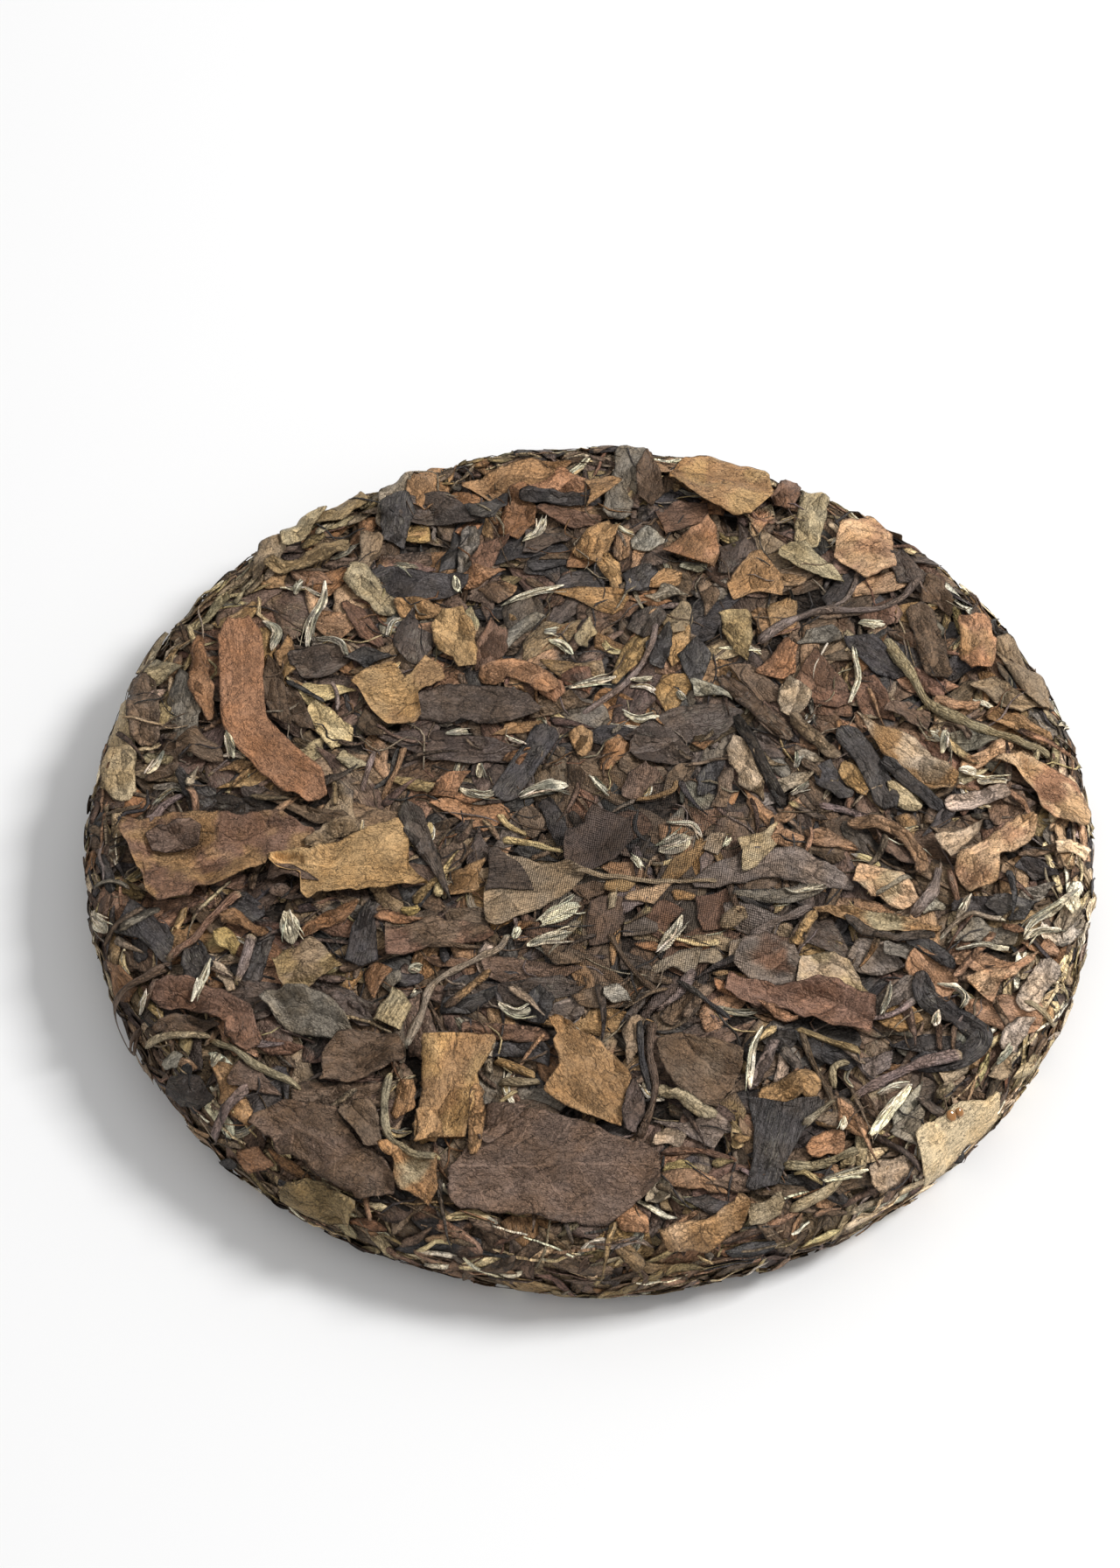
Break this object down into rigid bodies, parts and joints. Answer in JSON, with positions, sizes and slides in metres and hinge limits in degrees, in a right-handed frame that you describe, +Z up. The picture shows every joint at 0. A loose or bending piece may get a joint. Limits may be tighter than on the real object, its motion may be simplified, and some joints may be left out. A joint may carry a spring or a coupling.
{
  "type": "white tea cake",
  "caption": "Round flat cake of pressed white tea, a solid disc of dried leaves, stems and silver buds with a rounded layered rim, broken up for brewing.",
  "frame": {"origin": "middle of the flat underside", "axes": "+Z up out of the leaf face, -Y towards the front of the pictured view, +X to its right"},
  "size_m": [0.1996, 0.1986, 0.0219],
  "materials": {
    "pressed_tea": "matt dried leaf, mixed brown, copper, olive and charcoal, with silver buds"
  },
  "bodies": {
    "root": {"tea_cake": "pressed_tea"}
  },
  "joints": []
}
